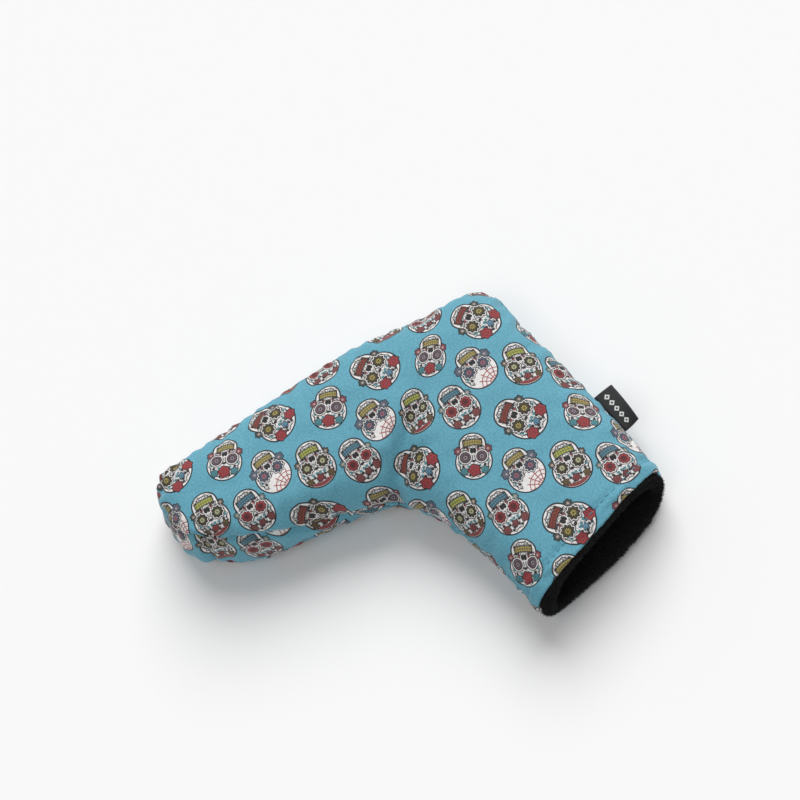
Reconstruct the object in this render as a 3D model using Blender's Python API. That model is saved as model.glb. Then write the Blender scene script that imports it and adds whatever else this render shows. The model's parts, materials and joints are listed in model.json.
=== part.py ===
"""Putter head cover for a blade putter: a padded, lined, L-shaped sleeve lying on its back panel.

+X runs from heel to toe, +Y from the sole to the open mouth of the neck, and +Z is the thickness.
The origin is under the middle of the bounding box, on the surface that the cover lies on.

Every layer is a flat outline with a crowned height over it. A layer that lies deeper has its
outline drawn in, and its height cut down, by its depth below the outer face.
"""

import math

import bmesh
import bpy
import numpy as np
from mathutils import Matrix, Vector

MM = 0.001

# The outline, in mm from the heel corner, each edge from the toe towards the mouth.
SOLE_EDGE = [(154, -9.5), (136, -9.5), (100, -7.5), (60, -5.5), (22, 0.5), (-1, 4.5)]
OUTER_NECK_EDGE = [(-1, 4.5), (-10, 12.5), (-12.5, 30), (-16, 52), (-19, 80), (-20.2, 100), (-20, 120)]
CROWN_EDGE = [(155, 26), (144, 36.5), (127, 45), (108, 51.5), (91, 57), (78, 64)]
INNER_NECK_EDGE = [(78, 64), (71, 74), (65.5, 88), (60.5, 110), (55, 141.5)]
TOE_BULGE = 8.5
TOE_POWER = 2.3
TOE_BULGE_REACH = 5.0

# Stations along the cover and across it.
BODY_STATIONS = 14
NECK_STATIONS = 10
ACROSS = 9
TOE_CROWDING = 1.35
HEM_WIDTH = 6.0

# Thickness.
BODY_THICKNESS = 40.0
MOUTH_THICKNESS = 35.0
BODY_SEAM_LEVEL = 19.5
THINNING = (0.48, 1.0)
CROWN_POWER = 2.7
TOE_RISE_LENGTH = 34.0
BACK_FLATTENING = 1.12
MOUTH_LIFT = 1.4
MOUTH_LIFT_LENGTH = 26.0

# Half widths of the boxing strip between the panels, and where it narrows: each pair is the start and
# end, from 0 at the toe to 1 at the heel or elbow, and on from there up the neck.
TOE_STRIP_HALF = 12.5
SOLE_STRIP_HALF = 11.0
STRIP_END_HALF = 1.2
SOLE_NARROWING = (0.0, 0.3)
SOLE_TAPER = (0.62, 1.0)
SOLE_END = (0.9, 1.0)
CROWN_TAPER = (0.12, 0.92)
CROWN_END = (0.6, 0.92)
CLOSING = (1.0, 1.2)
STRIP_BULGE = 1.2

# Depths of each layer below the outer face: outside, inside.
SHELL = (0.0, 1.0)
PADDING = (1.3, 4.3)
LINING = (4.6, 6.8)
LINING_LIP = 2.5
HALF_GAP = 0.15

# Sewing thread, drawn as one continuous run over its stitches.
THREAD_RADIUS = 0.25
THREAD_GAP = 0.32

# The folded woven tag in the outer neck seam.
TAG_LENGTH = 20.4
TAG_REACH = 7.0
TAG_THICKNESS = 0.8
TAG_HINGE_STANDOFF = 0.7
TAG_GAP = 0.2
TAG_START = 75.5

MATERIALS = {
    "printed_fabric": ((0.102, 0.402, 0.546, 1.0), 0.75),
    "foam_padding": ((0.55, 0.55, 0.52, 1.0), 0.9),
    "plush_lining": ((0.008, 0.008, 0.009, 1.0), 0.95),
    "sewing_thread": ((0.08, 0.33, 0.45, 1.0), 0.6),
    "woven_tag": ((0.012, 0.012, 0.014, 1.0), 0.8),
}


def clear_scene():
    for thing in list(bpy.data.objects):
        bpy.data.objects.remove(thing, do_unlink=True)


def make_materials():
    made = {}
    for name, (colour, roughness) in MATERIALS.items():
        material = bpy.data.materials.new(name)
        material.use_nodes = True
        shader = material.node_tree.nodes["Principled BSDF"]
        shader.inputs["Base Color"].default_value = colour
        shader.inputs["Roughness"].default_value = roughness
        shader.inputs["Metallic"].default_value = 0.0
        made[name] = material
    return made


def smooth_curve(points, before=None, after=None, steps=40):
    """A Catmull-Rom curve through the points, with optional neighbours that set its end directions."""
    points = [np.array(p, float) for p in points]
    first = 2 * points[0] - points[1] if before is None else np.array(before, float)
    last = 2 * points[-1] - points[-2] if after is None else np.array(after, float)
    chain = [first, *points, last]
    curve = []
    for a, b, c, d in zip(chain, chain[1:], chain[2:], chain[3:]):
        for t in np.arange(steps) / steps:
            bend = 2 * a - 5 * b + 4 * c - d + t * (3 * b - a - 3 * c + d)
            curve.append(b + 0.5 * t * (c - a + t * bend))
    curve.append(points[-1])
    return np.array(curve)


def along(curve, fractions):
    """The points at these fractions of the curve's length."""
    steps = np.linalg.norm(np.diff(curve, axis=0), axis=1)
    run = np.concatenate([[0.0], np.cumsum(steps)])
    wanted = np.array(fractions) * run[-1]
    return np.stack([np.interp(wanted, run, curve[:, axis]) for axis in range(2)], axis=1)


def superellipse(t, power):
    return np.maximum(0.0, 1 - np.abs(t) ** power) ** (1 / power)


def smooth_step(value, start, end):
    t = np.clip((value - start) / (end - start), 0.0, 1.0)
    return t * t * (3 - 2 * t)


def station_fractions():
    """Fractions along the body's edges and along the neck's, the last but one at the hem."""
    body = (np.arange(BODY_STATIONS + 1) / BODY_STATIONS) ** TOE_CROWDING
    neck_length = OUTER_NECK_EDGE[-1][1] - OUTER_NECK_EDGE[0][1]
    hem = 1 - HEM_WIDTH / neck_length
    neck = np.append(np.linspace(0.0, hem, NECK_STATIONS), 1.0)
    return body, neck


def edge(body_points, neck_points):
    body, neck = station_fractions()
    body_curve = smooth_curve(body_points, after=neck_points[1])
    neck_curve = smooth_curve(neck_points, before=body_points[-2])
    return np.concatenate([along(body_curve, body), along(neck_curve, neck)[1:]])


def across_fractions():
    return (1 - np.cos(math.pi * np.arange(ACROSS + 1) / ACROSS)) / 2


def outline(depth):
    """The outer edge, toe and inner edge, drawn in by depth: arrays of points in mm."""
    outer = edge(SOLE_EDGE, OUTER_NECK_EDGE)
    inner = edge(CROWN_EDGE, INNER_NECK_EDGE)
    w = across_fractions()[:, None]
    chord = inner[0] - outer[0]
    outward = np.array([chord[1], -chord[0]]) / np.linalg.norm(chord)
    toe = outer[0] + w * chord + superellipse(2 * w - 1, TOE_POWER) * TOE_BULGE * outward
    loop = np.concatenate([outer[::-1], toe[1:-1], inner])
    ahead = np.concatenate([loop[1:], loop[-1:]])
    behind = np.concatenate([loop[:1], loop[:-1]])
    run = ahead - behind
    run /= np.linalg.norm(run, axis=1)[:, None]
    inward = np.stack([-run[:, 1], run[:, 0]], axis=1)
    loop = loop + depth * inward
    count = len(outer)
    return loop[:count][::-1], loop[count - 1 : count + ACROSS], loop[-count:]


def plan(depth):
    """The layer's grid of points in plan: station along the cover, then station across it."""
    outer, toe, inner = outline(depth)
    w = across_fractions()[None, :, None]
    straight = (1 - w) * outer[:, None] + w * inner[:, None]
    s = travel()[:, None, None]
    return straight + (1 - s) ** TOE_BULGE_REACH * (toe - straight[0])[None]


def travel():
    """Each station's place from 0 at the toe to 1 at the mouth, by the middle of the cover."""
    outer = edge(SOLE_EDGE, OUTER_NECK_EDGE)
    inner = edge(CROWN_EDGE, INNER_NECK_EDGE)
    steps = np.linalg.norm(np.diff((outer + inner) / 2, axis=0), axis=1)
    run = np.concatenate([[0.0], np.cumsum(steps)])
    return run / run[-1]


def strip_half_widths():
    """Half the boxing strip's width along the outer and along the inner edge."""
    body, neck = station_fractions()
    s = np.concatenate([body, 1 + neck[1:]])
    outer = TOE_STRIP_HALF + (SOLE_STRIP_HALF - TOE_STRIP_HALF) * smooth_step(s, *SOLE_NARROWING)
    outer *= 1 - smooth_step(s, *SOLE_TAPER)
    outer += STRIP_END_HALF * smooth_step(s, *SOLE_END)
    inner = TOE_STRIP_HALF * (1 - smooth_step(s, *CROWN_TAPER))
    inner += STRIP_END_HALF * smooth_step(s, *CROWN_END)
    fade = 1 - smooth_step(s, *CLOSING)
    return outer * fade, inner * fade


def seam_level():
    return BODY_SEAM_LEVEL + (MOUTH_THICKNESS / 2 - BODY_SEAM_LEVEL) * smooth_step(travel(), *THINNING)


def heights(depth, front):
    """Height above the floor of the front or back panel's face at this depth, over the grid."""
    s = travel()
    level = seam_level()[:, None]
    thickness = BODY_THICKNESS + (MOUTH_THICKNESS - BODY_THICKNESS) * smooth_step(s, *THINNING)
    if front:
        reach = thickness[:, None] - level
    else:
        outer = edge(SOLE_EDGE, OUTER_NECK_EDGE)
        from_mouth = outer[-1, 1] - outer[:, 1]
        lift = MOUTH_LIFT * (1 - smooth_step(from_mouth, 0.0, MOUTH_LIFT_LENGTH))
        lift[: BODY_STATIONS + 1] = 0.0
        reach = level - lift[:, None]
    w = across_fractions()
    crown = superellipse(2 * w - 1, CROWN_POWER)[None]
    total = np.linalg.norm(np.diff(plan(0.0)[:, ACROSS // 2], axis=0), axis=1)
    from_toe = np.concatenate([[0.0], np.cumsum(total)])
    rise = superellipse(1 - np.minimum(1.0, from_toe / TOE_RISE_LENGTH), CROWN_POWER)
    crown = crown * rise[:, None]
    if not front:
        crown = np.minimum(1.0, crown * BACK_FLATTENING)
    outer_half, inner_half = strip_half_widths()
    edge_height = HALF_GAP + (1 - w) * outer_half[:, None] + w * inner_half[:, None]
    edge_height[0] = HALF_GAP + TOE_STRIP_HALF
    shrink = (reach - depth) / reach
    height = edge_height * shrink + (reach - depth - edge_height * shrink) * crown
    height = np.maximum(height, HALF_GAP)
    return level + height if front else level - height


def panel_face(depth, front, lip=0.0):
    """One face of a panel layer, as a grid of 3D points. A lip carries it on past the mouth."""
    flat = plan(depth)
    height = heights(depth, front)
    if lip:
        middle = ACROSS // 2
        way = flat[-1, middle] - flat[-2, middle]
        flat = np.concatenate([flat, flat[-1:] + lip * way / np.linalg.norm(way)])
        height = np.concatenate([height, height[-1:]])
    return np.concatenate([flat, height[:, :, None]], axis=2)


def strip_face(depth):
    """One face of the boxing strip: from the heel along the sole, round the toe and up the crown."""
    outer, toe, inner = outline(depth)
    outer_half, inner_half = strip_half_widths()
    level = seam_level()
    shrink = 1 - depth / (BODY_THICKNESS - BODY_SEAM_LEVEL)
    stations = range(BODY_STATIONS, -1, -1)
    path = [(outer[i], outer_half[i], level[i]) for i in stations]
    path += [(toe[j], TOE_STRIP_HALF, level[0]) for j in range(1, ACROSS)]
    path += [(inner[i], inner_half[i], level[i]) for i in reversed(stations)]
    places = np.array([place for place, _, _ in path])
    run = np.gradient(places, axis=0)
    run /= np.linalg.norm(run, axis=1)[:, None]
    face = []
    for (x, y), (_, half, middle), way in zip(places, path, run):
        bulge = STRIP_BULGE * half / TOE_STRIP_HALF
        row = []
        for side in (1, 0, -1):
            out = bulge * (1 - abs(side))
            height = (HALF_GAP + half) * shrink - 2 * HALF_GAP
            row.append((x + out * way[1], y - out * way[0], middle + side * height))
        face.append(row)
    return np.array(face)


def to_frame(points):
    """From mm at the heel corner to metres at the origin under the middle of the box."""
    return (np.asarray(points, float) - CENTRE) * MM


def box_centre():
    """The plan centre of everything: the tag reaches lowest in X, the lining's lip highest in Y."""
    corners = [tag_frame() @ Vector((TAG_GAP + TAG_REACH, side * TAG_LENGTH / 2, 0.0)) for side in (-1, 1)]
    faces = [panel_face(0.0, True), strip_face(0.0), panel_face(LINING[0], True, LINING_LIP), corners]
    reach = np.concatenate([np.array(face, float).reshape(-1, 3) for face in faces])
    return (reach.min(axis=0) + reach.max(axis=0)) / 2 * (1, 1, 0)


def link(name, mesh, material):
    thing = bpy.data.objects.new(name, mesh)
    bpy.context.scene.collection.objects.link(thing)
    mesh.materials.append(material)
    return thing


def layer(name, outside, inside, material):
    """A closed solid between two grids of points that match one to one."""
    rows, columns = outside.shape[:2]
    shape = bmesh.new()
    verts = [
        [[shape.verts.new(to_frame(face[i, j])) for j in range(columns)] for i in range(rows)]
        for face in (outside, inside)
    ]
    for face in verts:
        for i in range(rows - 1):
            for j in range(columns - 1):
                shape.faces.new((face[i][j], face[i + 1][j], face[i + 1][j + 1], face[i][j + 1]))
    rim = [(i, 0) for i in range(rows)] + [(rows - 1, j) for j in range(1, columns)]
    rim += [(i, columns - 1) for i in range(rows - 2, -1, -1)] + [(0, j) for j in range(columns - 2, 0, -1)]
    for (i, j), (k, m) in zip(rim, rim[1:] + rim[:1]):
        shape.faces.new((verts[0][i][j], verts[0][k][m], verts[1][k][m], verts[1][i][j]))
    bmesh.ops.recalc_face_normals(shape, faces=shape.faces)
    bmesh.ops.triangulate(shape, faces=shape.faces)
    mesh = bpy.data.meshes.new(name)
    shape.to_mesh(mesh)
    shape.free()
    mesh.shade_smooth()
    mesh.set_sharp_from_angle(angle=math.radians(50))
    return link(name, mesh, material)


def face_normals(face):
    """The unit normal at each point of a grid, pointing up for a front face as the grid runs."""
    along_way = np.gradient(face, axis=0)
    across_way = np.gradient(face, axis=1)
    normal = np.cross(across_way, along_way)
    return normal / np.linalg.norm(normal, axis=2)[:, :, None]


def lifted(face, front):
    """A panel's outer face raised to where a thread's middle lies."""
    normal = face_normals(face)
    side = 1 if front else -1
    normal *= np.sign(normal[:, ACROSS // 2, 2])[:, None, None] * side
    return face + normal * (THREAD_GAP + THREAD_RADIUS)


def thread(name, points, material, closed=False):
    curve = bpy.data.curves.new(name, "CURVE")
    curve.dimensions = "3D"
    curve.bevel_depth = THREAD_RADIUS * MM
    curve.bevel_resolution = 1
    curve.use_fill_caps = not closed
    run = curve.splines.new("POLY")
    run.points.add(len(points) - 1)
    for point, place in zip(run.points, to_frame(points)):
        point.co = (*place, 1.0)
    run.use_cyclic_u = closed
    return link(name, curve, material)


def tag_frame():
    """The tag's frame in mm: Z rotation and place, its X pointing out of the seam."""
    outer = edge(SOLE_EDGE, OUTER_NECK_EDGE)
    neck = outer[BODY_STATIONS:]
    ends = [TAG_START, TAG_START + TAG_LENGTH]
    xs = np.interp(ends, neck[:, 1], neck[:, 0])
    level = np.interp(sum(ends) / 2, neck[:, 1], seam_level()[BODY_STATIONS:])
    turn = math.atan2(ends[1] - ends[0], xs[1] - xs[0]) + math.pi / 2
    on_seam = Matrix.Translation((sum(xs) / 2, sum(ends) / 2, level)) @ Matrix.Rotation(turn, 4, "Z")
    return on_seam @ Matrix.Translation((TAG_HINGE_STANDOFF, 0.0, 0.0))


def side_tag(material):
    """A folded strip of woven tape: flat faces, with the fold as a round outer edge."""
    half = TAG_THICKNESS / 2
    profile = [(TAG_GAP, -half), (TAG_GAP, half)]
    for angle in np.linspace(math.pi / 2, -math.pi / 2, 5):
        profile.append((TAG_GAP + TAG_REACH - half + half * math.cos(angle), half * math.sin(angle)))
    shape = bmesh.new()
    ends = []
    for y in (-TAG_LENGTH / 2, TAG_LENGTH / 2):
        ends.append([shape.verts.new((x * MM, y * MM, z * MM)) for x, z in profile])
    shape.faces.new(ends[0])
    shape.faces.new(ends[1][::-1])
    for i in range(len(profile)):
        k = (i + 1) % len(profile)
        shape.faces.new((ends[0][i], ends[1][i], ends[1][k], ends[0][k]))
    bmesh.ops.recalc_face_normals(shape, faces=shape.faces)
    mesh = bpy.data.meshes.new("side_tag")
    shape.to_mesh(mesh)
    shape.free()
    tag = link("side_tag", mesh, material)
    place = tag_frame()
    tag.location = to_frame(place.to_translation())
    tag.rotation_euler = place.to_euler()
    return tag


def panels(materials):
    for side, front in (("front", True), ("back", False)):
        for name, (outside, inside), lip, material in (
            ("panel", SHELL, 0.0, "printed_fabric"),
            ("padding", PADDING, 0.0, "foam_padding"),
            ("lining", LINING, LINING_LIP, "plush_lining"),
        ):
            faces = [panel_face(depth, front, lip) for depth in (outside, inside)]
            layer(f"{side}_{name}", *faces, materials[material])


def boxing_strips(materials):
    for name, (outside, inside), material in (
        ("boxing_strip", SHELL, "printed_fabric"),
        ("boxing_padding", PADDING, "foam_padding"),
        ("boxing_lining", LINING, "plush_lining"),
    ):
        layer(name, strip_face(outside), strip_face(inside), materials[material])


def stitching(material):
    faces = {"front": lifted(panel_face(0.0, True), True), "back": lifted(panel_face(0.0, False), False)}
    hem = np.concatenate([faces["front"][-2], faces["back"][-2, ::-1]])
    thread("hem_stitching", hem, material, closed=True)
    first = BODY_STATIONS + 1
    for side, face in faces.items():
        thread(f"outer_neck_stitching_{side}", face[first:-2, 1], material)
        thread(f"inner_neck_stitching_{side}", face[first:-2, -2], material)


clear_scene()
CENTRE = box_centre()
finishes = make_materials()
panels(finishes)
boxing_strips(finishes)
stitching(finishes["sewing_thread"])
side_tag(finishes["woven_tag"])
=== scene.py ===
import json
import math

import bmesh
import bpy
import numpy as np
from mathutils import Matrix, Vector


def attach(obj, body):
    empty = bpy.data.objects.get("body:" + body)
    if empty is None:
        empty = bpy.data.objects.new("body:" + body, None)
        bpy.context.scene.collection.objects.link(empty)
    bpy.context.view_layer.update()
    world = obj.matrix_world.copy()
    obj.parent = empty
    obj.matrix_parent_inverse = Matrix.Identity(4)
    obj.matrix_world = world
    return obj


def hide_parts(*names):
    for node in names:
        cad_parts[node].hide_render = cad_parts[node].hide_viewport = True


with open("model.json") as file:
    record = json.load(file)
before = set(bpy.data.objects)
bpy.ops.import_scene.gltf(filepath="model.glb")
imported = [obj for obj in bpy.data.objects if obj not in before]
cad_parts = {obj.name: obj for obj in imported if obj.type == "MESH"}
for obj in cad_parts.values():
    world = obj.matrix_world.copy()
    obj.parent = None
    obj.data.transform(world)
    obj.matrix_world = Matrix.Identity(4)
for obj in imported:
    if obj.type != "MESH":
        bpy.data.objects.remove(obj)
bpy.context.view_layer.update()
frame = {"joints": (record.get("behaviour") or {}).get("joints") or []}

MM = 0.001

# ---------------------------------------------------------------- the cutting pattern, in mm
# Places are measured from the heel corner, each edge from the toe towards the mouth.
HEEL_CORNER = np.array([-68.171, -66.195, 0.0])
SOLE_EDGE = [(154, -9.5), (136, -9.5), (100, -7.5), (60, -5.5), (22, 0.5), (-1, 4.5)]
OUTER_NECK_EDGE = [(-1, 4.5), (-10, 12.5), (-12.5, 30), (-16, 52), (-19, 80), (-20.2, 100), (-20, 120)]
CROWN_EDGE = [(155, 26), (144, 36.5), (127, 45), (108, 51.5), (91, 57), (78, 64)]
INNER_NECK_EDGE = [(78, 64), (71, 74), (65.5, 88), (60.5, 110), (55, 141.5)]
TOE_BULGE = 8.5
TOE_POWER = 2.3
TOE_BULGE_REACH = 5.0

BODY_THICKNESS = 40.0
MOUTH_THICKNESS = 35.0
BODY_SEAM_LEVEL = 19.5
THINNING = (0.48, 1.0)
CROWN_POWER = 2.7
TOE_RISE_LENGTH = 34.0
BACK_FLATTENING = 1.12
MOUTH_LIFT = 1.4
MOUTH_LIFT_LENGTH = 26.0

TOE_STRIP_HALF = 12.5
SOLE_STRIP_HALF = 11.0
STRIP_END_HALF = 0.6
SOLE_NARROWING = (0.0, 0.3)
SOLE_TAPER = (0.62, 1.0)
CROWN_TAPER = (0.12, 0.92)
STRIP_CLOSING = (1.0, 1.15)
STRIP_BULGE = 1.2

# Stations of the fine grid: along the body, along the neck, and across.
BODY_STATIONS = 110
NECK_STATIONS = 90
ACROSS = 56
STRIP_ACROSS = 18


def smooth_curve(points, before=None, after=None, steps=40):
    """A Catmull-Rom curve through the points."""
    points = [np.array(p, float) for p in points]
    first = 2 * points[0] - points[1] if before is None else np.array(before, float)
    last = 2 * points[-1] - points[-2] if after is None else np.array(after, float)
    chain = [first, *points, last]
    curve = []
    for a, b, c, d in zip(chain, chain[1:], chain[2:], chain[3:]):
        for t in np.arange(steps) / steps:
            bend = 2 * a - 5 * b + 4 * c - d + t * (3 * b - a - 3 * c + d)
            curve.append(b + 0.5 * t * (c - a + t * bend))
    curve.append(points[-1])
    return np.array(curve)


def run_along(points):
    """The distance from the first point to each one, along them."""
    return np.concatenate([[0.0], np.cumsum(np.linalg.norm(np.diff(points, axis=0), axis=1))])


def along(curve, fractions):
    """Points at these fractions of a curve's length."""
    run = run_along(curve)
    return np.stack([np.interp(fractions * run[-1], run, curve[:, k]) for k in range(2)], axis=1)


def superellipse(t, power):
    """Height over -1..1 of a rounded crown: 1 in the middle, 0 at both ends."""
    return np.maximum(0.0, 1 - np.abs(t) ** power) ** (1 / power)


def smooth_step(value, start, end):
    """0 before the start, 1 after the end, smooth between."""
    t = np.clip((value - start) / (end - start), 0.0, 1.0)
    return t * t * (3 - 2 * t)


def unit(vectors):
    return vectors / np.maximum(np.linalg.norm(vectors, axis=-1, keepdims=True), 1e-9)


# W runs across the grid, 0 at the outer side and 1 at the inner side, closer together at the edges.
BODY_FRACTIONS = np.linspace(0.0, 1.0, BODY_STATIONS + 1)
NECK_FRACTIONS = np.linspace(0.0, 1.0, NECK_STATIONS + 1)
W = (1 - np.cos(math.pi * np.arange(ACROSS + 1) / ACROSS)) / 2


def edge(body_points, neck_points):
    """One side's edge of the cover at every station, from the toe along the body and up the neck."""
    body = along(smooth_curve(body_points, after=neck_points[1]), BODY_FRACTIONS)
    neck = along(smooth_curve(neck_points, before=body_points[-2]), NECK_FRACTIONS)
    return np.concatenate([body, neck[1:]])


# TRAVEL runs 0 to 1 from toe to mouth; STATION is 0 at the toe, 1 at the elbow and 2 at the mouth;
# LEVEL is the height of the side seams.
OUTER = edge(SOLE_EDGE, OUTER_NECK_EDGE)
INNER = edge(CROWN_EDGE, INNER_NECK_EDGE)
TRAVEL = run_along((OUTER + INNER) / 2)
TRAVEL = TRAVEL / TRAVEL[-1]
STATION = np.concatenate([BODY_FRACTIONS, 1 + NECK_FRACTIONS[1:]])
LEVEL = BODY_SEAM_LEVEL + (MOUTH_THICKNESS / 2 - BODY_SEAM_LEVEL) * smooth_step(TRAVEL, *THINNING)


def outline(depth):
    """The outer edge, toe and inner edge, drawn in by depth."""
    w = W[:, None]
    chord = INNER[0] - OUTER[0]
    outward = np.array([chord[1], -chord[0]]) / np.linalg.norm(chord)
    toe = OUTER[0] + w * chord + superellipse(2 * w - 1, TOE_POWER) * TOE_BULGE * outward
    loop = np.concatenate([OUTER[::-1], toe[1:-1], INNER])
    run = unit(np.concatenate([loop[1:], loop[-1:]]) - np.concatenate([loop[:1], loop[:-1]]))
    loop = loop + depth * np.stack([-run[:, 1], run[:, 0]], axis=1)
    count = len(OUTER)
    return loop[:count][::-1], loop[count - 1 : count + ACROSS], loop[-count:]


# How far each panel's mouth edge is drawn back, and how far the plush stands past the mouth's
# straight line: pairs of place across (0 at the outer side, 1 at the inner side) and mm.
SET_BACK = {
    True: [(0, 0.3), (0.15, 0.6), (0.5, 1.6), (0.8, 3.2), (1.0, 4.4)],
    False: [(0, 0.3), (0.15, 0.2), (0.7, 0.2), (0.86, 1.8), (1.0, 4.4)],
}
PLUSH_REACH = {
    True: [(0, 3.6), (0.15, 1.6), (0.5, 0.0), (0.8, -1.5), (0.93, -1.2), (1.0, 0.4)],
    False: [(0, 3.8), (0.09, 6.0), (0.2, 6.4), (0.44, 5.6), (0.64, 3.2), (0.84, 0.2), (1.0, -0.8)],
}
MOUTH_PULL = 24.0


def across_table(pairs):
    """A smooth value for each place across, from pairs."""
    places, values = np.array(pairs, float).T
    found = np.interp(W, places, values)
    for _ in range(6):
        found[1:-1] = 0.25 * found[:-2] + 0.5 * found[1:-1] + 0.25 * found[2:]
    return found


def plan(depth, front=None):
    """The grid's places in plan at a depth, drawn back at the mouth if a side is given."""
    outer, toe, inner = outline(depth)
    w = W[None, :, None]
    straight = (1 - w) * outer[:, None] + w * inner[:, None]
    grid = straight + (1 - TRAVEL[:, None, None]) ** TOE_BULGE_REACH * (toe - straight[0])[None]
    if front is None:
        return grid
    step = np.linalg.norm(np.diff(grid, axis=0), axis=2)
    from_mouth = np.concatenate([np.cumsum(step[::-1], axis=0)[::-1], np.zeros((1, len(W)))])
    pull = across_table(SET_BACK[front]) * (1 - smooth_step(from_mouth, 0.0, MOUTH_PULL))
    return grid - pull[..., None] * unit(grid[-1] - grid[-4])


def strip_half_widths():
    """Half the boxing strip's width along the outer and along the inner edge."""
    outer = TOE_STRIP_HALF + (SOLE_STRIP_HALF - TOE_STRIP_HALF) * smooth_step(STATION, *SOLE_NARROWING)
    outer = np.maximum(outer * (1 - smooth_step(STATION, *SOLE_TAPER)), STRIP_END_HALF)
    inner = np.maximum(TOE_STRIP_HALF * (1 - smooth_step(STATION, *CROWN_TAPER)), STRIP_END_HALF)
    closing = 1 - smooth_step(STATION, *STRIP_CLOSING)
    return outer * closing, inner * closing


def heights(depth, front):
    """Height of the front or back face at this depth below the outer face, over the grid."""
    level = LEVEL[:, None]
    thickness = BODY_THICKNESS + (MOUTH_THICKNESS - BODY_THICKNESS) * smooth_step(TRAVEL, *THINNING)
    if front:
        reach = thickness[:, None] - level
    else:
        from_mouth = (OUTER[-1, 1] - OUTER[:, 1]) + 1e3 * (STATION <= 1)
        reach = level - MOUTH_LIFT * (1 - smooth_step(from_mouth, 0.0, MOUTH_LIFT_LENGTH))[:, None]
    crown = superellipse(2 * W - 1, CROWN_POWER)[None]
    from_toe = run_along(plan(0.0)[:, ACROSS // 2])
    crown = crown * superellipse(1 - np.minimum(1.0, from_toe / TOE_RISE_LENGTH), CROWN_POWER)[:, None]
    if not front:
        crown = np.minimum(1.0, crown * BACK_FLATTENING)
    outer_half, inner_half = strip_half_widths()
    rim = (1 - W) * outer_half[:, None] + W * inner_half[:, None]
    shrink = (reach - depth) / reach
    height = rim * shrink + (reach - depth - rim * shrink) * crown
    return level + height if front else level - height


def face(depth, front):
    """The front or back face at a depth below the outer one, as a grid of points."""
    return np.concatenate([plan(depth, front), heights(depth, front)[:, :, None]], axis=2)


def normals(grid, upward):
    """Unit normals of a grid, turned so that its middle looks up or down."""
    found = unit(np.cross(np.gradient(grid, axis=1), np.gradient(grid, axis=0)))
    middle = found[found.shape[0] // 2, found.shape[1] // 2, 2]
    return found if (middle > 0) == upward else -found


# ---------------------------------------------------------------- how the sewn cloth lies
# A seam's valley, the reach of its gathers, the cloth turned in behind it, and the cloth's thickness.
SEAM_DEPTH = 2.0
SEAM_WIDTH = 2.3
PUCKER_REACH = 4.8
SEAM_ALLOWANCE = 2.5
CLOTH_THICKNESS = 0.55

# How far in from the mouth and from the neck's seams the rows of stitches run, the station along the
# neck where its rows begin, and the distance from one stitch to the next.
HEM_ROW = 6.0
NECK_ROW = 5.0
NECK_ROW_START = 1.12
STITCH_PITCH = 3.4

# The crease over the front panel, from the inner elbow into the body, the way across it towards the
# mouth, and how much cloth is tucked into it.
ELBOW_FOLD = np.array([(80.0, 64.5), (66.0, 55.5), (58.0, 48.0), (47.0, 40.0), (34.0, 28.0)])
FOLD_WAY = np.array([-0.62, 0.785])
FOLD_DEPTH = 4.0
TUCK = 3.0

# How far the toe's back edge stands out past its front edge, and the front edge's share of that.
TOE_FLARE = 4.8
FRONT_SHARE = -0.4
TOE_FLARE_LENGTH = (6.0, 55.0)

# The hem: the radius of its fold, the rows of the grid that the turned-in edge reaches back over, and
# the distance from one row to the next.
FOLD_RADIUS = 0.9
FOLD_BACK_ROWS = (2, 4)
ROW_STEP = 1.5

# The settling of the cloth: its scale, its length in frames, how much the cloth is cut over size, and
# the most that it may move in mm.
SIM_SCALE = 0.01
SIM_FRAMES = 18
OVER_SIZE = 0.035
MOST_SETTLING = 1.6


def ripple(run, seed, short, long):
    """A seam's gathers: an uneven wave along the run, from waves between two lengths in mm."""
    chance = np.random.default_rng(seed)
    wave = np.zeros_like(run)
    for _ in range(7):
        length = chance.uniform(short, long)
        height = chance.uniform(0.5, 1.0)
        wave = wave + height * np.sin(2 * math.pi * (run / length + chance.uniform(0, 1)))
    return wave / 2.6


def slack(grid, seed, short=26.0, long=60.0):
    """Broad soft waves over a face, in mm of height before scaling."""
    chance = np.random.default_rng(seed)
    wave = np.zeros(grid.shape[:2])
    for _ in range(9):
        angle = chance.uniform(0, math.pi)
        length = chance.uniform(short, long)
        phase = chance.uniform(0, 6.3)
        way = grid[..., 0] * math.cos(angle) + grid[..., 1] * math.sin(angle)
        wave += np.sin(2 * math.pi * way / length + phase) * chance.uniform(0.4, 1.0)
    return wave / 3.0


def distance_in(grid):
    """Each point's distance over the cloth from the outer edge, the inner edge, the toe and the mouth."""
    across = np.linalg.norm(np.diff(grid, axis=1), axis=2)
    from_outer = np.concatenate([np.zeros((len(grid), 1)), np.cumsum(across, axis=1)], axis=1)
    from_inner = from_outer[:, -1:] - from_outer
    down = np.linalg.norm(np.diff(grid, axis=0), axis=2)
    from_toe = np.concatenate([np.zeros((1, grid.shape[1])), np.cumsum(down, axis=0)], axis=0)
    return from_outer, from_inner, from_toe, from_toe[-1:] - from_toe


def gathers(distance, run, strength, seed):
    """Ridges that leave a gathered seam and die away over the cloth."""
    fade = (distance / 2.2) * np.exp(1 - distance / PUCKER_REACH) / 1.9
    return strength * fade * ripple(run, seed, 6.0, 13.0)


def side_of_fold(grid):
    """How far each point is past the elbow's fold, towards the mouth."""
    return (grid[..., :2] - ELBOW_FOLD[2]) @ FOLD_WAY


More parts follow.
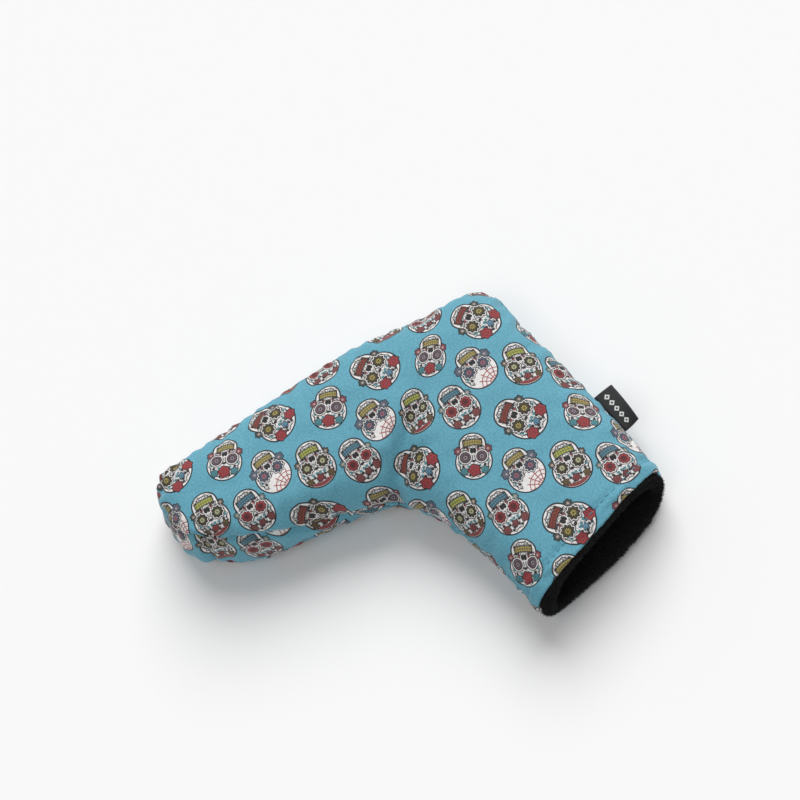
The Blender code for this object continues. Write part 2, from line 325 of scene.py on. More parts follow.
def elbow_fold(grid):
    """The soft valley that runs from the inner elbow over the panel, where the neck bends away."""
    line = smooth_curve(ELBOW_FOLD, steps=12)
    run = run_along(line)
    gap = np.linalg.norm(grid[..., None, :2] - line[None, None], axis=3)
    nearest = gap.argmin(axis=2)
    distance = gap.min(axis=2)
    travelled = run[nearest] / run[-1]
    depth = FOLD_DEPTH * (1 - smooth_step(travelled, 0.4, 1.0))
    valley = np.exp(-((distance / 3.0) ** 2))
    banks = 0.34 * np.exp(-(((distance - 9.5) / 5.5) ** 2))
    return -depth * (valley - banks)


def seam_target(points, level, inward):
    """Where a seam is drawn in to: inward in plan and a little towards the middle of the thickness."""
    target = points.copy()
    target[:, :2] += inward * SEAM_DEPTH
    target[:, 2] += (level - points[:, 2]) * 0.05
    return target


def outline_inward():
    """For the outer edge, toe and inner edge: the unit vectors that point into the cover."""
    return [unit(inner - outer) for inner, outer in zip(outline(1.0), outline(0.0))]


def draw_in(grid, away):
    """Pulls each edge of a panel down into its seam. away holds the distances from the edges. Each
    point is drawn in as by its nearest edge only, so that the toe's corners aren't drawn in twice."""
    inward_outer, inward_toe, inward_inner = outline_inward()
    near = np.minimum(np.minimum(away[0], away[1]), away[2])
    pulls = [np.exp(-((distance / SEAM_WIDTH) ** 2)) for distance in away[:3]]
    share = (np.exp(-((near / SEAM_WIDTH) ** 2)) / np.maximum(sum(pulls), 1e-6))[..., None]
    outer_move = seam_target(grid[:, 0], LEVEL, inward_outer) - grid[:, 0]
    inner_move = seam_target(grid[:, -1], LEVEL, inward_inner) - grid[:, -1]
    toe_move = seam_target(grid[0], np.full(len(W), LEVEL[0]), inward_toe) - grid[0]
    result = grid.copy()
    for pull, move in zip(pulls, (outer_move[:, None], inner_move[:, None], toe_move[None])):
        result += pull[..., None] * move * share
    return result


def toe_flare(to_toe):
    """How far the cover's back edge stands out past its front edge, by the distance from the toe."""
    return TOE_FLARE * (1 - smooth_step(to_toe, *TOE_FLARE_LENGTH))


def edge_runs():
    """For each point of a panel's grid: how far it is from the toe along the outer and inner edges."""
    shape = (len(OUTER), len(W))
    return [np.broadcast_to(run_along(way)[:, None], shape) for way in (OUTER, INNER)]


def flare_share(front):
    """The toe's flare is shared: the front edge goes in a little and the back edge goes out."""
    return FRONT_SHARE if front else 1 + FRONT_SHARE


def edge_flare(away, run_outer, run_inner):
    """The move that takes a panel's toe edge out to the back edge of the boxing strip."""
    inward_outer, inward_toe, inward_inner = outline_inward()
    edges = (inward_outer[:, None], inward_inner[:, None], inward_toe[None])
    share = [np.exp(-distance / 2.0) for distance in away[:3]]
    total = np.maximum(sum(share), 1e-6)
    way = sum(part[..., None] * inward for part, inward in zip(share, edges)) / total[..., None]
    near = np.exp(-np.minimum(np.minimum(away[0], away[1]), away[2]) / 9.0)
    across = away[0] / (away[0] + away[1])
    to_toe = (1 - across) * run_outer + across * run_inner
    return -unit(way) * (toe_flare(to_toe) * near)[..., None]


def rows_of_stitches(away, run_outer, run_inner, neck):
    """The channels that the hem's row and the neck's top stitching press into the padding."""
    from_outer, from_inner, _, from_mouth = away
    pulse = 0.72 + 0.28 * np.cos(2 * math.pi * from_outer / STITCH_PITCH)
    lift = -0.95 * np.exp(-(((from_mouth - HEM_ROW) / 1.5) ** 2)) * pulse
    lift += 0.35 * np.exp(-(((from_mouth - 2.6) / 2.2) ** 2))
    for distance, run in ((from_outer, run_outer), (from_inner, run_inner)):
        pulse = 0.7 + 0.3 * np.cos(2 * math.pi * run / STITCH_PITCH)
        row = np.exp(-(((distance - NECK_ROW) / 1.5) ** 2))
        lift -= 0.85 * row * pulse * neck * smooth_step(from_mouth, HEM_ROW - 1, HEM_ROW + 2)
    return lift


def settle(cloth, normal, away):
    """Lets one panel's cloth settle: held along its seams and mouth, cut a little larger than the
    space it fills and filled from inside, so that it wrinkles by itself. Worked in a larger scale."""
    rows, columns = cloth.shape[:2]
    points = cloth.reshape(-1, 3) * SIM_SCALE
    faces = grid_faces(rows, columns)
    turned = np.cross(points[faces[:, 1]] - points[faces[:, 0]], points[faces[:, 3]] - points[faces[:, 0]])
    if np.sum(turned * normal[:-1, :-1].reshape(-1, 3)) < 0:
        faces = faces[:, ::-1]
    mesh = bpy.data.meshes.new("settling cloth")
    mesh.from_pydata(points.tolist(), [], faces.tolist())
    trial = bpy.data.objects.new("settling cloth", mesh)
    bpy.context.scene.collection.objects.link(trial)
    near = np.minimum(np.minimum(away[0], away[1]), np.minimum(away[2], away[3]))
    held = trial.vertex_groups.new(name="seams")
    weights = (1 - smooth_step(near, 0.4, 3.0)).ravel()
    for k in np.nonzero(weights > 0)[0]:
        held.add([int(k)], float(weights[k]), "REPLACE")
    modifier = trial.modifiers.new("cloth", "CLOTH")
    modifier.point_cache.frame_start, modifier.point_cache.frame_end = 1, SIM_FRAMES
    rules = modifier.settings
    rules.quality = 6
    rules.mass = 0.2
    rules.tension_stiffness = rules.compression_stiffness = 20.0
    rules.shear_stiffness = 8.0
    rules.bending_stiffness = 0.6
    rules.air_damping = 3.0
    rules.shrink_min = rules.shrink_max = -OVER_SIZE
    rules.use_pressure = True
    rules.uniform_pressure_force = 1.5
    rules.vertex_group_mass = "seams"
    rules.pin_stiffness = 5.0
    rules.effector_weights.gravity = 0.0
    for frame_number in range(1, SIM_FRAMES + 1):
        bpy.context.scene.frame_set(frame_number)
    settled = trial.evaluated_get(bpy.context.evaluated_depsgraph_get()).to_mesh()
    places = np.zeros(rows * columns * 3, np.float32)
    settled.vertices.foreach_get("co", places)
    bpy.context.scene.frame_set(1)
    bpy.data.objects.remove(trial)
    moved = places.reshape(rows, columns, 3) / SIM_SCALE - cloth
    far = np.linalg.norm(moved, axis=2, keepdims=True)
    moved = moved / np.maximum(far, 1e-9) * MOST_SETTLING * np.tanh(far / MOST_SETTLING)
    return cloth + moved


def panel_cloth(front):
    """The outer face of a printed panel as sewn: crowned, drawn into its seams, gathered and creased."""
    grid = face(0.0, front)
    normal = normals(grid, front)
    away = distance_in(grid)
    from_outer, from_inner, from_toe, from_mouth = away
    seed = 11 if front else 57
    neck = smooth_step(STATION, 0.95, 1.25)[:, None]
    open_end = smooth_step(from_mouth, 2.0, 14.0)
    run_outer, run_inner = edge_runs()
    run_toe = np.broadcast_to(run_along(outline(0.0)[1])[None], grid.shape[:2])
    toe_side = np.exp(-from_toe / 30.0)
    lift = gathers(from_outer, run_outer, 0.28 + 0.85 * toe_side, seed) * open_end
    lift += gathers(from_inner, run_inner, 0.36 + 0.75 * toe_side, seed + 1) * open_end
    corner = smooth_step(np.minimum(from_outer, from_inner), 0.0, 6.0)
    lift += gathers(from_toe, run_toe, 1.25, seed + 2) * corner
    inside = smooth_step(np.minimum(np.minimum(from_outer, from_inner), from_toe), 2.0, 22.0)
    lift += (0.5 if front else 0.25) * slack(grid, seed + 3) * inside
    lift += 0.24 * slack(grid, seed + 4, 8.0, 16.0) * inside
    if front:
        lift += elbow_fold(grid) * smooth_step(from_inner, 0.0, 6.0)
    else:
        lift = np.where(grid[..., 2] < 6.0, -np.abs(lift) * 0.4, lift)
    cloth = grid + normal * lift[..., None]
    cloth = draw_in(cloth, away)
    cloth[..., :2] += edge_flare(away, run_outer, run_inner) * flare_share(front)
    cloth = settle(cloth, normal, away)
    lift = rows_of_stitches(away, run_outer, run_inner, neck)
    cloth += normal * lift[..., None]
    cloth[..., 2] = np.maximum(cloth[..., 2], 0.05)
    return cloth


# The print: its repeat in mm, the ways of its own axes over the front panel, the middle of one motif,
# and the line that the back panel's print is mirrored about, twice over.
REPEAT = 50.0
PRINT_U = np.array([-0.981, 0.192])
PRINT_V = np.array([0.192, 0.981])
PRINT_START = np.array([79.05, 14.4])
BACK_MIRROR = 31.0


def print_place(grid, front):
    """Where each point of a panel lies on the flat printed cloth, in mm, kept true to length
    across the cover so that the print rolls away over the edges."""
    middle = ACROSS // 2
    step = np.diff(grid, axis=1)
    length = np.linalg.norm(step, axis=2)
    way = unit(step[..., :2])
    move = way * length[..., None]
    flat = np.zeros(grid.shape[:2] + (2,))
    flat[:, middle] = grid[:, middle, :2]
    for j in range(middle, ACROSS):
        flat[:, j + 1] = flat[:, j] + move[:, j]
    for j in range(middle, 0, -1):
        flat[:, j - 1] = flat[:, j] - move[:, j - 1]
    if front:
        flat -= TUCK * (1 - smooth_step(side_of_fold(grid), -8.0, 8.0))[..., None] * FOLD_WAY
    else:
        flat[..., 0] = BACK_MIRROR - flat[..., 0]
    return flat


def on_repeat(flat):
    """Flat places in mm turned to the print's own axes, from the middle of one motif."""
    from_start = flat - PRINT_START
    return np.stack([from_start @ PRINT_U, from_start @ PRINT_V, np.zeros(flat.shape[:-1])], axis=-1)


# ---------------------------------------------------------------- making meshes
def to_frame(points):
    """Points of the cutting pattern, in mm, as places in the shared frame."""
    return (np.asarray(points, float) + HEEL_CORNER) * MM


def link(name, mesh, material):
    """Makes a mesh into a piece of the scene, with its material."""
    thing = bpy.data.objects.new(name, mesh)
    bpy.context.scene.collection.objects.link(thing)
    mesh.materials.append(material)
    return thing


def grid_faces(rows, columns, start=0):
    """The four-sided faces of a grid of points."""
    at = start + np.arange(rows * columns).reshape(rows, columns)
    return np.stack([at[:-1, :-1], at[1:, :-1], at[1:, 1:], at[:-1, 1:]], axis=-1).reshape(-1, 4)


def marked_mesh(name, points, faces, places):
    """A smooth mesh whose points carry their places on the flat cloth, as the print attribute."""
    mesh = bpy.data.meshes.new(name)
    mesh.from_pydata(points.reshape(-1, 3).tolist(), [], faces.tolist())
    held = mesh.attributes.new("print", "FLOAT_VECTOR", "POINT")
    held.data.foreach_set("vector", places.reshape(-1, 3).astype(np.float32).ravel())
    mesh.shade_smooth()
    return mesh


def closed_mesh(name, points, faces):
    """A smooth closed mesh from points in mm, with its faces all turned outwards."""
    mesh = bpy.data.meshes.new(name)
    mesh.from_pydata(to_frame(points).tolist(), [], faces)
    shape = bmesh.new()
    shape.from_mesh(mesh)
    bmesh.ops.recalc_face_normals(shape, faces=shape.faces)
    shape.to_mesh(mesh)
    shape.free()
    mesh.shade_smooth()
    return mesh


def thicken(piece, thickness, offset):
    """Gives a sheet its thickness in mm: offset -1 lays it all on the inner side."""
    solid = piece.modifiers.new("cloth thickness", "SOLIDIFY")
    solid.thickness = thickness * MM
    solid.offset = offset


def cloth_piece(name, grid, material, places, outward):
    """A sheet of cloth from a grid of points, thickened inwards. outward points out of the cover."""
    faces = grid_faces(*grid.shape[:2])
    points = grid.reshape(-1, 3)
    middle = faces[len(faces) // 2]
    turned = np.cross(points[middle[1]] - points[middle[0]], points[middle[3]] - points[middle[0]])
    if np.dot(turned, outward.reshape(-1, 3)[middle[0]]) < 0:
        faces = faces[:, ::-1]
    piece = link(name, marked_mesh(name, to_frame(points), faces, places), material)
    thicken(piece, CLOTH_THICKNESS, -1.0)
    return piece


def fold_mouth(grid, places, normal):
    """Turns the panel's mouth edge in: round a small fold and back inside."""
    way = unit(grid[-1] - grid[-3])
    inward = -normal[-1]
    rows, marks = [grid], [places]
    extra = 0.0
    for angle in np.radians([30, 60, 90, 120, 150, 180]):
        turn = math.sin(angle) * way + (1 - math.cos(angle)) * inward
        rows.append((grid[-1] + FOLD_RADIUS * turn)[None])
        extra += FOLD_RADIUS * math.radians(30)
        marks.append(places[-1:] + [[(0.0, extra, 0.0)]])
    for back in FOLD_BACK_ROWS:
        above = -1 - back
        rows.append((grid[above] - (2 * FOLD_RADIUS + 0.1 * back) * normal[above])[None])
        marks.append(places[-1:] + [[(0.0, extra + ROW_STEP * back, 0.0)]])
    return np.concatenate(rows), np.concatenate(marks)


def printed_panel(name, front, material):
    """A printed panel with its turned-in hem. Also its outer face and that face's normals."""
    grid = panel_cloth(front)
    places = on_repeat(print_place(face(0.0, front), front))
    normal = normals(grid, front)
    folded, marks = fold_mouth(grid, places, normal)
    outward = np.concatenate([normal, np.repeat(normal[-1:], len(folded) - len(grid), axis=0)])
    return cloth_piece(name, folded, material, marks, outward), grid, normal


def strip_path():
    """The boxing strip's path in plan, with its half width, level and inward way at each point."""
    outer, toe, inner = outline(0.0)
    in_outer, in_toe, in_inner = outline_inward()
    outer_half, inner_half = strip_half_widths()
    round_toe = np.ones(ACROSS + 1)

    def joined(outer_part, toe_part, inner_part):
        last = BODY_STATIONS + 1
        return np.concatenate([outer_part[:last][::-1], toe_part[1:-1], inner_part[:last]])

    return (joined(outer, toe, inner), joined(outer_half, TOE_STRIP_HALF * round_toe, inner_half),
            joined(LEVEL, LEVEL[0] * round_toe, LEVEL), joined(in_outer, in_toe, in_inner))


def strip_flare(run, v):
    """How far the strip stands out at each place along it and across it, from front (-1) to back (1)."""
    start, end = run[BODY_STATIONS], run[BODY_STATIONS + ACROSS]
    to_toe = np.maximum(0.0, np.maximum(start - run, run - end))
    return toe_flare(to_toe)[:, None] * (smooth_step(v, -1.0, 1.0) + FRONT_SHARE)[None]


def strip_cloth():
    """The boxing strip as sewn: a band that bulges between its two gathered seams, with an allowance
    turned in behind each. Also its places on the flat cloth and the ways that point out of it."""
    places, half, level, inward = strip_path()
    run = run_along(places)
    v = np.linspace(-1.0, 1.0, STRIP_ACROSS + 1)
    fullness = (half / TOE_STRIP_HALF)[:, None]
    bow = (1 - v**2)[None]
    distance = (1 - np.abs(v))[None] * half[:, None]
    near_seam = np.exp(-((distance / SEAM_WIDTH) ** 2))
    wave = gathers(distance, run[:, None] + 0 * v, 0.6, 91) * fullness
    wave += 0.35 * np.sin(2 * math.pi * run / 47.0)[:, None] * bow * fullness
    move = STRIP_BULGE * fullness * bow - SEAM_DEPTH * near_seam + wave + strip_flare(run, v)
    grid = np.zeros((len(places), len(v), 3))
    grid[..., :2] = places[:, None] - inward[:, None] * move[..., None]
    grid[..., 2] = level[:, None] - v[None] * half[:, None] * (1 - 0.05 * near_seam)
    length = np.broadcast_to(run[:, None], distance.shape)
    marks = np.stack([length, (1 + v)[None] * half[:, None]], axis=-1)
    allowance = grid[:, [0, -1]].copy()
    allowance[..., :2] += SEAM_ALLOWANCE * inward[:, None]
    grid = np.concatenate([allowance[:, :1], grid, allowance[:, 1:]], axis=1)
    marks = np.concatenate([marks[:, :1], marks, marks[:, -1:]], axis=1)
    outward = np.zeros_like(grid)
    outward[..., :2] = -inward[:, None]
    return grid, marks, outward


# How the strip was laid on the printed cloth: where it starts, and the ways of its length and width.
STRIP_PRINT_START = np.array([228.7, -54.8])
STRIP_ON_PRINT = np.array([[-0.897, 0.44], [0.44, 0.897]])


def boxing(name, material):
    """The printed boxing strip."""
    grid, marks, outward = strip_cloth()
    flat = STRIP_PRINT_START + marks @ STRIP_ON_PRINT
    return cloth_piece(name, grid, material, on_repeat(flat), outward)


# The outer and inner faces of the padding and of the plush, in mm under the printed cloth's face.
BATTING_DEPTHS = (3.5, 4.5)
PLUSH_DEPTHS = (4.6, 6.6)
STRIP_BATTING_DEPTHS = (3.0, 4.4)


def layer(depth, front):
    """The face at a depth, following the elbow's fold and the toe's flare as the printed cloth does."""
    grid = face(depth, front)
    if front:
        grid[..., 2] += elbow_fold(grid)
    grid[..., :2] += edge_flare(distance_in(grid), *edge_runs()) * flare_share(front)
    return grid


def between(name, outside, inside, material):
    """A closed soft piece between two grids that match one to one."""
    rows, columns = outside.shape[:2]
    count = rows * columns
    faces = np.concatenate([grid_faces(rows, columns), grid_faces(rows, columns, count)[:, ::-1]])
    at = np.arange(count).reshape(rows, columns)
    loop = np.concatenate([at[:-1, 0], at[-1, :-1], at[:0:-1, -1], at[0, :0:-1]])
    following = np.roll(loop, -1)
    rim = np.stack([loop, following, following + count, loop + count], axis=1)
    points = np.concatenate([outside.reshape(-1, 3), inside.reshape(-1, 3)])
    faces = np.concatenate([faces, rim[:, ::-1]]).tolist()
    return link(name, closed_mesh(name, points, faces), material)


def batting(name, front, material):
    """The padding behind a panel, ending short of the mouth."""
    outside, inside = (layer(depth, front)[:-10:2, ::2] for depth in BATTING_DEPTHS)
    return between(name, outside, inside, material)


def strip_layer(depth):
    """The boxing strip's face at a depth, for its padding and lining."""
    places, half, level, inward = strip_path()
    v = np.linspace(-1.0, 1.0, 7)
    shrink = 1 - depth / (BODY_THICKNESS - BODY_SEAM_LEVEL)
    grid = np.zeros((len(places), len(v), 3))
    move = depth - strip_flare(run_along(places), v)
    grid[..., :2] = places[:, None] + inward[:, None] * move[..., None]
    grid[..., 2] = level[:, None] - v[None] * (half * shrink - 0.2)[:, None]
    return grid[4:-4:2]


# ---------------------------------------------------------------- plush at the mouth
# The last rows of the lining, spread so that they run evenly up to the roll.
SPREAD_ROWS = 14


def plush(name, front, material):
    """A plush lining panel: up the inside, past the mouth, and rolled over onto the shell's fold."""
    outside, inside = (layer(depth, front) for depth in PLUSH_DEPTHS)
    hem = layer(1.6, front)
    way = unit(inside[-1] - inside[-6])
    reach = (across_table(PLUSH_REACH[front]) + across_table(SET_BACK[front]))[:, None]
    roll, behind = [], []
    for turn in np.radians([0, 25, 50, 75, 100, 125, 150, 180]):
        share = (1 - math.cos(turn)) / 2
        end = (1 - share) * inside[-1] + share * hem[-1]
        rise = 1.3 * math.sin(turn) - 1.3
        roll.append(end + way * (reach + rise))
        behind.append((outside[-1] + end) / 2 + way * (reach + rise - 1.6))
    tuck, under = layer(2.2, front)[-1], layer(3.4, front)[-1]
    for back in (0.35, 0.0):
        roll.append(tuck + way * ((reach - 1.3) * back - 1.2 * (back == 0.0)))
        behind.append(under + way * ((reach - 2.6) * back - 1.6))
    rows = len(inside) - 1
    visible = np.concatenate([inside[:rows], np.array(roll)])
    hidden = np.concatenate([outside[:rows], np.array(behind)])
    for k in range(SPREAD_ROWS):
        share = (k + 1) / (SPREAD_ROWS + 1)
        visible[rows - SPREAD_ROWS + k] += way * (reach - 1.3) * share**1.5
    return between(name, visible[:, ::2], hidden[:, ::2], material), visible


# The tufts of pile at each half of the mouth, and a tuft's width in mm.
TUFTS = 9000
TUFT_WIDTH = 0.34


def tufts(name, spots, ways, lengths, material):
    """Pile: a closed, thin, three-sided spike at each spot, leaning its own way."""
    corners = []
    faces = []
    for k, (spot, way, length) in enumerate(zip(spots, ways, lengths)):
        side = np.cross(way, (0.3, 0.2, 0.93))
        side /= np.linalg.norm(side)
        other = np.cross(way, side)
        for turn in (0.0, 2.094, 4.189):
            corners.append(spot + TUFT_WIDTH / 2 * (math.cos(turn) * side + math.sin(turn) * other))
        corners.append(spot + way * length)
        a = 4 * k
        faces += [(a, a + 1, a + 3), (a + 1, a + 2, a + 3), (a + 2, a, a + 3), (a + 2, a + 1, a)]
    mesh = bpy.data.meshes.new(name)
    mesh.from_pydata(to_frame(np.array(corners)).tolist(), [], faces)
    mesh.shade_smooth()
    return link(name, mesh, material)


def pile(name, visible, front, material, seed):
    """Short pile over the mouth end of a plush panel, leaning out of the mouth."""
    count = TUFTS
    chance = np.random.default_rng(seed)
    rows, columns = visible.shape[:2]
    outward = normals(visible, not front)
    way = unit(visible[-9] - visible[-22])
    first, last = rows - 28, rows - 2
    i = first + (last - first) * chance.beta(2.2, 1.0, count)
    j = (columns - 1) * chance.uniform(0.0, 1.0, count)
    i0, j0 = np.minimum(i.astype(int), rows - 2), np.minimum(j.astype(int), columns - 2)
    a, b = (i - i0)[:, None], (j - j0)[:, None]
    spots = (1 - a) * ((1 - b) * visible[i0, j0] + b * visible[i0, j0 + 1])
    spots += a * ((1 - b) * visible[i0 + 1, j0] + b * visible[i0 + 1, j0 + 1])
    lean = unit(outward[i0, j0] + 0.6 * way[j0] + 0.5 * chance.normal(size=(count, 3)))
    return tufts(name, spots, lean, chance.uniform(0.9, 2.0, count), material)


# ---------------------------------------------------------------- thread and tag
# A stitch's thread radius and its length, in mm.
THREAD = 0.2
STITCH_LENGTH = 2.6


def stitches(name, route, normal, material):
    """A row of separate stitches: each one a short round thread that dives in at both ends."""
    run = run_along(route)
    count = int(run[-1] // STITCH_PITCH)
    corners, faces = [], []
    sides, rings = 6, 7
    for k in range(count):
        t = (k + 0.5) * STITCH_PITCH + STITCH_LENGTH * np.linspace(-0.5, 0.5, rings)
        centre = np.stack([np.interp(t, run, route[:, c]) for c in range(3)], axis=1)
        up = unit(np.stack([np.interp(t, run, normal[:, c]) for c in range(3)], axis=1))
        bow = np.linspace(-1, 1, rings)
        centre = centre + up * (THREAD * (0.4 - 1.6 * bow**4))[:, None]
        way = unit(np.gradient(centre, axis=0))
        side = unit(np.cross(way, up))
        over = np.cross(side, way)
        start = len(corners)
        for r in range(rings):
            radius = THREAD * (1 - 0.45 * bow[r] ** 6)
            for s in range(sides):
                angle = 2 * math.pi * s / sides
                spoke = math.cos(angle) * side[r] + math.sin(angle) * over[r]
                corners.append(centre[r] + radius * spoke)
        for r in range(rings - 1):
            for s in range(sides):
                a, b = start + r * sides + s, start + r * sides + (s + 1) % sides
                faces.append((a, b, b + sides, a + sides))
        faces.append(tuple(start + s for s in range(sides))[::-1])
        faces.append(tuple(start + (rings - 1) * sides + s for s in range(sides)))
    return link(name, closed_mesh(name, np.array(corners), faces), material)


def row_beside_seam(cloth, normal, inner):
    """The route of the neck's top stitching, a fixed way in from a side seam, and its normals."""
    away = distance_in(cloth)
    distance = away[1] if inner else away[0]
    route, up = [], []
    from_mouth = away[3][:, -1 if inner else 0]
    order = slice(None, None, -1) if inner else slice(None)
    for i in np.nonzero((STATION > NECK_ROW_START) & (from_mouth > HEM_ROW + 1.0))[0]:
        d = distance[i][order]
        route.append([np.interp(NECK_ROW, d, cloth[i][order][:, c]) for c in range(3)])
        up.append([np.interp(NECK_ROW, d, normal[i][order][:, c]) for c in range(3)])
    return np.array(route), np.array(up)


def row_at_hem(cloth, normal):
    """The route of the hem's stitching over one panel, HEM_ROW in from the mouth."""
    from_mouth = distance_in(cloth)[3][::-1]
    route, up = [], []
    for j in range(cloth.shape[1]):
        route.append([np.interp(HEM_ROW, from_mouth[:, j], cloth[::-1, j, c]) for c in range(3)])
        up.append([np.interp(HEM_ROW, from_mouth[:, j], normal[::-1, j, c]) for c in range(3)])
    return np.array(route), np.array(up)


# The tag: its length along the seam, how far it stands out, the tape's thickness, the gap between its
# two leaves, how far they reach into the seam, and the tape's length when flat, in mm.
TAG_LENGTH = 20.4
TAG_REACH = 7.2
TAPE = 0.3
TAG_GAP = 0.22
TAG_ROOT = 2.2


def side_tag(name, material):
    """A woven tape folded in two and caught in the seam: two leaves joined by a round fold."""
    joint = next(j for j in frame["joints"] if j["child"] == "tag")
    hinge, axis = Vector(joint["pos_m"]), Vector(joint["axis"]).normalized()
    out = Vector((-axis.y, axis.x, 0.0)).normalized()
    if out.x > 0:
        out = -out
    half = TAG_GAP / 2 + TAPE
    leaf = np.linspace(-TAG_ROOT, TAG_REACH - half, 9)
    profile = [(x, half) for x in leaf]
    for angle in np.linspace(80, -80, 7):
        a = math.radians(angle)
        profile.append((TAG_REACH - half + half * math.cos(a), half * math.sin(a)))
    profile += [(x, -half) for x in leaf[::-1]]
    stations = np.linspace(-0.5, 0.5, 25)
    grid = np.zeros((len(profile), len(stations), 3))
    marks = np.zeros_like(grid)
    run = run_along(np.array(profile))
    for i, (x, z) in enumerate(profile):
        for j, y in enumerate(stations):
            toward_mouth = y + 0.5
            curl = 0.05 * max(x, 0.0) ** 2 * (toward_mouth**1.5 - 0.25)
            short = 1 - 0.2 * toward_mouth**2
            place = hinge + out * (x * short * MM) + axis * (y * TAG_LENGTH * MM)
            place += Vector((0, 0, (z + curl) * MM))
            grid[i, j] = place
            marks[i, j] = (run[i], y * TAG_LENGTH, 0.0)
    mesh = marked_mesh(name, grid, grid_faces(*grid.shape[:2]), marks)
    piece = link(name, mesh, material)
    thicken(piece, TAPE, 0.0)
    return piece


# ---------------------------------------------------------------- materials
def colour(code):
    """An sRGB hex colour as the linear colour that a shader takes."""
    parts = [int(code[k : k + 2], 16) / 255 for k in (1, 3, 5)]
    return (*(c / 12.92 if c <= 0.04045 else ((c + 0.055) / 1.055) ** 2.4 for c in parts), 1.0)


def add(tree, kind, *inputs, sockets=None, **settings):
    """Adds a node and returns its first output. The kind may end in its operation or data type. The
    inputs, in order or by socket name, take a number, a colour or a link."""
    kind, _, choice = kind.partition(" ")
    made = tree.nodes.new("ShaderNode" + kind)
    if choice:
        setattr(made, "data_type" if kind == "Mix" else "operation", choice)
    for name, value in settings.items():
        setattr(made, name, value)
    given = list(zip([socket for socket in made.inputs if socket.enabled], inputs))
    given += [(made.inputs[name], value) for name, value in (sockets or {}).items()]
    for socket, value in given:
        if isinstance(value, bpy.types.NodeSocket):
            tree.links.new(value, socket)
        else:
            socket.default_value = value
    return next(output for output in made.outputs if output.enabled)


def new_material(name, roughness, **sockets):
    """A material with its shader's own sockets set, each named with _ for a space."""
    material = bpy.data.materials.new(name)
    material.use_nodes = True
    shader = material.node_tree.nodes["Principled BSDF"]
    shader.inputs["Roughness"].default_value = roughness
    for socket, value in sockets.items():
        shader.inputs[socket.replace("_", " ")].default_value = value
    return material, material.node_tree, shader


INK = "#19161a"
CLOTH_WHITE = "#eceae8"
TEAL = "#63a8bd"
SCROLL_TEAL = "#5a9fb4"
SEED_INKS = ("#29252a", "#8f3f42", "#29252a", "#4b858f", "#5e5a3a", "#29252a")
SOFT_EDGE = 0.09

# One row for each face of the repeat: place in the repeat, way from chin to crown, size, then colours.
FACES = [
    {"at": (0.00, 0.00), "crown": (-0.335, 0.942), "size": 0.98, "eye": "#695660", "pupil": "#8c7f86",
     "teeth": "#a8995a", "bloom": "#a03a3e", "side": "#4a8d98", "cheek": "#7a4046",
     "marks": (2.7, 1.7, 1.9), "petal": 0.03},
    {"at": (0.33, 0.29), "crown": (0.241, 0.971), "size": 1.00, "eye": "#4a5d70", "pupil": "#a8707e",
     "teeth": "#a8995a", "bloom": CLOTH_WHITE, "side": CLOTH_WHITE, "cheek": "#54606f",
     "marks": (0.0, 0.0, 2.3), "petal": 0.30},
    {"at": (0.70, 0.41), "crown": (0.043, 1.0), "size": 1.04, "eye": "#3f3a26", "pupil": "#b9bb90",
     "teeth": "#a9ae55", "bloom": "#84393b", "side": "#645436", "cheek": "#4d4c3c",
     "marks": (1.6, 1.5, 1.5), "petal": 0.24},
    {"at": (0.06, 0.55), "crown": (0.212, 0.977), "size": 1.02, "eye": "#a03c40", "pupil": "#6d2529",
     "teeth": "#4f8094", "bloom": "#784040", "side": "#824645", "cheek": "#5f7d78",
     "marks": (1.5, 1.8, 1.5), "petal": 0.20},
    {"at": (0.50, 0.86), "crown": (0.76, 0.656), "size": 1.12, "eye": "#46412a", "pupil": "#aa9a52",
     "teeth": "#86382f", "bloom": "#5b8ba3", "side": "#a03a3e", "cheek": "#3d463e",
     "marks": (1.4, 2.3, 1.7), "petal": 0.28},
]


def by_face(tree, number, values):
    """The colour or numbers that belong to a face, by its number in FACES."""
    ramp = add(tree, "ValToRGB", number)
    steps = ramp.node.color_ramp
    steps.interpolation = "CONSTANT"
    while len(steps.elements) < len(values):
        steps.elements.new(0.5)
    for k, value in enumerate(values):
        steps.elements[k].position = k / len(values)
        steps.elements[k].color = value
    return ramp


def within(tree, distance, edge, soft=SOFT_EDGE):
    """1 where a distance is under the edge, 0 beyond it, with the soft rim of ink on cloth."""
    low = add(tree, "Math SUBTRACT", edge, soft) if not isinstance(edge, float) else edge - soft
    high = add(tree, "Math ADD", edge, soft) if not isinstance(edge, float) else edge + soft
    return add(tree, "MapRange", distance, low, high, 1.0, 0.0)


def fill(tree, under, distance, edge, ink):
    """Fills the shape whose distance is under the edge with an ink, over what is drawn so far."""
    return add(tree, "Mix RGBA", within(tree, distance, edge), under, ink)


def on_line(tree, distance, centre, half):
    """1 along a thin line at a set distance."""
    off = add(tree, "Math ADD", distance, -centre)
    return within(tree, add(tree, "Math ABSOLUTE", off), half)


def from_centre(tree, place, centre, stretch=(1.0, 1.0)):
    """A place seen from a centre, and stretched, so that an oval becomes a circle."""
    moved = add(tree, "VectorMath SUBTRACT", place, (*centre, 0.0))
    return add(tree, "VectorMath MULTIPLY", moved, (*stretch, 1.0))


def petals(tree, offset, count, depth):
    """Distance from a flower's middle, made shorter along each petal."""
    x, y, _ = add(tree, "SeparateXYZ", offset).node.outputs
    angle = add(tree, "Math ARCTAN2", y, x)
    turns = add(tree, "Math MULTIPLY", angle, float(count))
    wave = add(tree, "Math COSINE", turns)
    return add(tree, "Math MULTIPLY_ADD", wave, depth, add(tree, "VectorMath LENGTH", offset))


